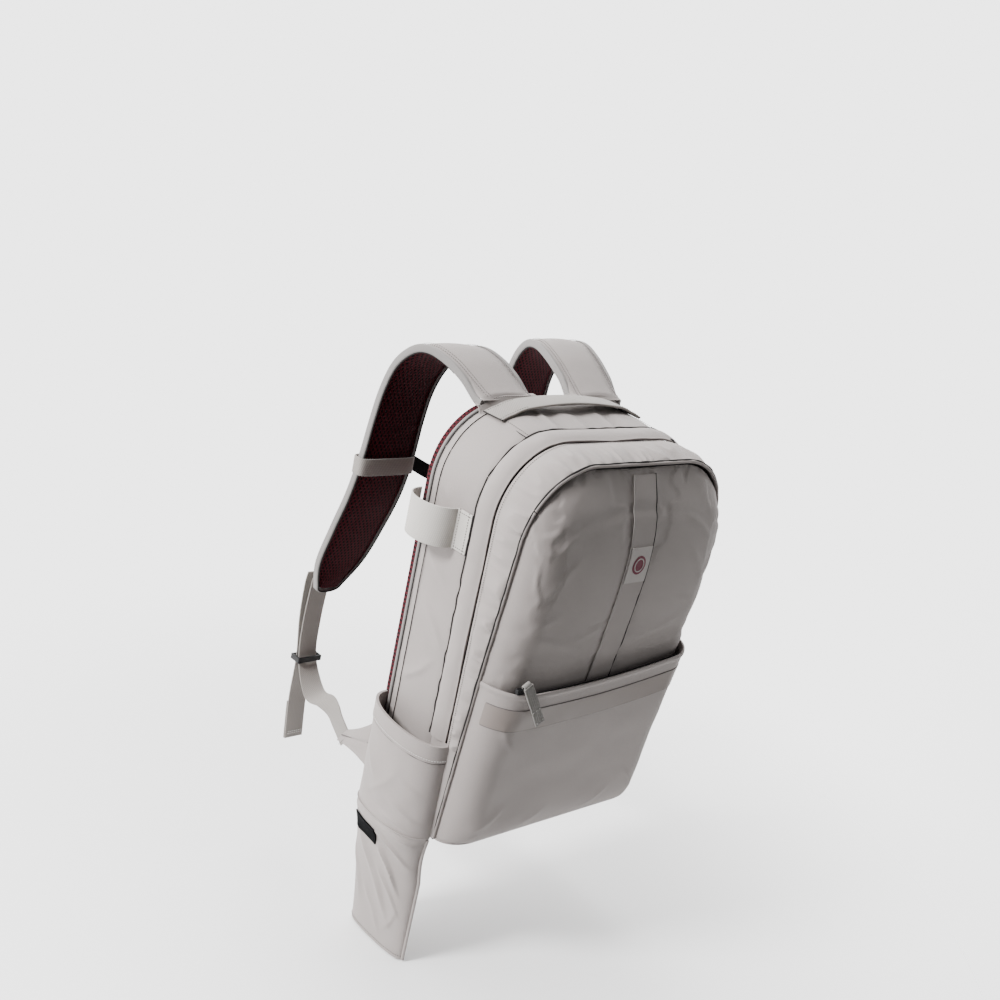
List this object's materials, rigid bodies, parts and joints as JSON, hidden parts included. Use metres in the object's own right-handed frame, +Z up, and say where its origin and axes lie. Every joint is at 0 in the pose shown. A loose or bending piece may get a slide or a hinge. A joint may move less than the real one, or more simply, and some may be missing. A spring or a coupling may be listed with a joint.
{
  "type": "stick and racket backpack",
  "caption": "Arch-shaped sports backpack: open side pocket, loop and fold-down sleeve for a stick or racket, zipped fold-down front, front pocket, grab handle and adjustable padded straps.",
  "frame": {"origin": "centre of the back pad's contact face, half-way up the bag's body", "axes": "+Z up along the back, +Y out of the back pad towards the wearer, +X to the right seen from the front"},
  "size_m": [0.338, 0.3886, 0.6609],
  "materials": {
    "fabric_warm_grey": "coated woven polyester, matt",
    "fabric_taupe": "smooth coated fabric, slight sheen",
    "webbing_grey": "woven webbing, matt",
    "air_mesh_burgundy": "open spacer mesh, matt",
    "touch_fastener_black": "woven black, matt",
    "plastic_black": "satin moulded plastic and coil zip",
    "stiffener_sheet": "plain stiffening sheet",
    "emblem_ground": "woven label, matt",
    "lining_grey": "brushed lining, matt"
  },
  "bodies": {
    "pack": {"back_pad": "air_mesh_burgundy", "back_wall": "fabric_warm_grey", "frame_sheet": "stiffener_sheet", "laptop_divider": "lining_grey", "side_panel_left": "fabric_warm_grey", "side_panel_right": "fabric_warm_grey", "lower_side_left": "fabric_warm_grey", "lower_side_right": "fabric_warm_grey", "top_panel": "fabric_warm_grey", "base_panel": "fabric_warm_grey", "storm_flap": "fabric_warm_grey", "zip_tape_body": "plastic_black", "front_wall_lower": "fabric_warm_grey", "pocket_wall_lower": "fabric_warm_grey", "stick_pocket": "fabric_warm_grey", "stick_pocket_hem": "fabric_warm_grey", "stick_loop": "webbing_grey", "stick_loop_tab": "webbing_grey", "handle_tab_left": "webbing_grey", "handle_tab_right": "webbing_grey", "strap_wing_left": "fabric_warm_grey", "strap_wing_right": "fabric_warm_grey"},
    "front_door": {"door_gusset": "fabric_warm_grey", "zip_tape_door": "plastic_black", "front_panel": "fabric_warm_grey", "pocket_wall_upper": "fabric_warm_grey", "pocket_band": "fabric_taupe", "centre_strip": "fabric_warm_grey", "emblem_patch": "emblem_ground", "pocket_zip_tape": "plastic_black"},
    "drop_sleeve": {"drop_sleeve": "fabric_warm_grey", "sleeve_fastener": "touch_fastener_black"},
    "grab_handle": {"grab_handle": "webbing_grey"},
    "strap_left": {"strap_pad_left": "fabric_warm_grey", "strap_mesh_left": "air_mesh_burgundy", "adjuster_webbing_left": "webbing_grey", "webbing_tail_left": "webbing_grey"},
    "strap_right": {"strap_pad_right": "fabric_warm_grey", "strap_mesh_right": "air_mesh_burgundy", "adjuster_webbing_right": "webbing_grey", "webbing_tail_right": "webbing_grey"},
    "ladder_left": {"ladder_lock_left": "plastic_black"},
    "ladder_right": {"ladder_lock_right": "plastic_black"},
    "keeper_left": {"webbing_keeper_left": "plastic_black"},
    "keeper_right": {"webbing_keeper_right": "plastic_black"},
    "sternum_left": {"sternum_loop_left": "webbing_grey", "sternum_elastic": "touch_fastener_black", "sternum_buckle_socket": "plastic_black"},
    "sternum_right": {"sternum_loop_right": "webbing_grey", "sternum_webbing": "webbing_grey", "sternum_buckle_plug": "plastic_black", "sternum_tail": "webbing_grey"},
    "main_slider_upper": {"main_slider_upper": "plastic_black"},
    "main_slider_lower": {"main_slider_lower": "plastic_black"},
    "main_pull_upper": {"main_pull_upper": "plastic_black"},
    "main_pull_lower": {"main_pull_lower": "plastic_black"},
    "pocket_slider": {"pocket_slider": "plastic_black"},
    "pocket_pull": {"pocket_pull": "webbing_grey"}
  },
  "joints": [
    {"name": "front_door_hinge", "type": "hinge", "parent": "pack", "child": "front_door", "pos_m": [0, -0.19, -0.113], "axis": [1, 0, 0], "range_deg": [0, 90]},
    {"name": "drop_sleeve_fold", "type": "hinge", "parent": "pack", "child": "drop_sleeve", "pos_m": [-0.1824, -0.009, -0.2264], "axis": [0, 1, 0], "range_deg": [0, 160]},
    {"name": "grab_handle_lift", "type": "slide", "parent": "pack", "child": "grab_handle", "axis": [0, 0, 1], "range_m": [0, 0.015]},
    {"name": "strap_left_swing", "type": "hinge", "parent": "pack", "child": "strap_left", "pos_m": [-0.068, -0.01, 0.2288], "axis": [1, 0, 0], "range_deg": [0, 12]},
    {"name": "strap_right_swing", "type": "hinge", "parent": "pack", "child": "strap_right", "pos_m": [0.068, -0.01, 0.2288], "axis": [1, 0, 0], "range_deg": [0, 12]},
    {"name": "ladder_left_tilt", "type": "hinge", "parent": "strap_left", "child": "ladder_left", "pos_m": [-0.12977, 0.14799, -0.02412], "axis": [-1, 0, 0], "range_deg": [0, 25]},
    {"name": "ladder_right_tilt", "type": "hinge", "parent": "strap_right", "child": "ladder_right", "pos_m": [0.12975, 0.1776, -0.02373], "axis": [-1, 0, 0], "range_deg": [0, 25]},
    {"name": "keeper_left_slide", "type": "slide", "parent": "strap_left", "child": "keeper_left", "axis": [0, 0, 1], "range_m": [0, 0.015]},
    {"name": "keeper_right_slide", "type": "slide", "parent": "strap_right", "child": "keeper_right", "axis": [0, 0, 1], "range_m": [0, 0.015]},
    {"name": "sternum_left_slide", "type": "slide", "parent": "strap_left", "child": "sternum_left", "axis": [0, 0, 1], "range_m": [-0.01, 0.01]},
    {"name": "sternum_right_slide", "type": "slide", "parent": "strap_right", "child": "sternum_right", "axis": [0, 0, 1], "range_m": [-0.01, 0.01]},
    {"name": "main_zip_upper_travel", "type": "hinge", "parent": "pack", "child": "main_slider_upper", "pos_m": [0.068, -0.1114, 0.13666], "axis": [0, -1, 0], "range_deg": [0, 33]},
    {"name": "main_zip_lower_travel", "type": "hinge", "parent": "pack", "child": "main_slider_lower", "pos_m": [0.068, -0.1114, 0.13666], "axis": [0, 1, 0], "range_deg": [0, 43]},
    {"name": "main_pull_upper_lift", "type": "hinge", "parent": "main_slider_upper", "child": "main_pull_upper", "pos_m": [0.11179, -0.1136, 0.20383], "axis": [0, 1, 0], "range_deg": [0, 90]},
    {"name": "main_pull_lower_lift", "type": "hinge", "parent": "main_slider_lower", "child": "main_pull_lower", "pos_m": [0.1268, -0.1136, 0.19123], "axis": [0, -1, 0], "range_deg": [0, 90]},
    {"name": "pocket_zip_travel", "type": "slide", "parent": "front_door", "child": "pocket_slider", "axis": [0.9988, 0, 0.0499], "range_m": [0, 0.235]},
    {"name": "pocket_pull_lift", "type": "hinge", "parent": "pocket_slider", "child": "pocket_pull", "pos_m": [-0.123, -0.18977, -0.01622], "axis": [-0.848, 0, -0.5299], "range_deg": [0, 100]}
  ],
  "couplings": [
    {"joint": "strap_right_swing", "follows": "strap_left_swing", "ratio": 1},
    {"joint": "sternum_right_slide", "follows": "sternum_left_slide", "ratio": 1}
  ]
}
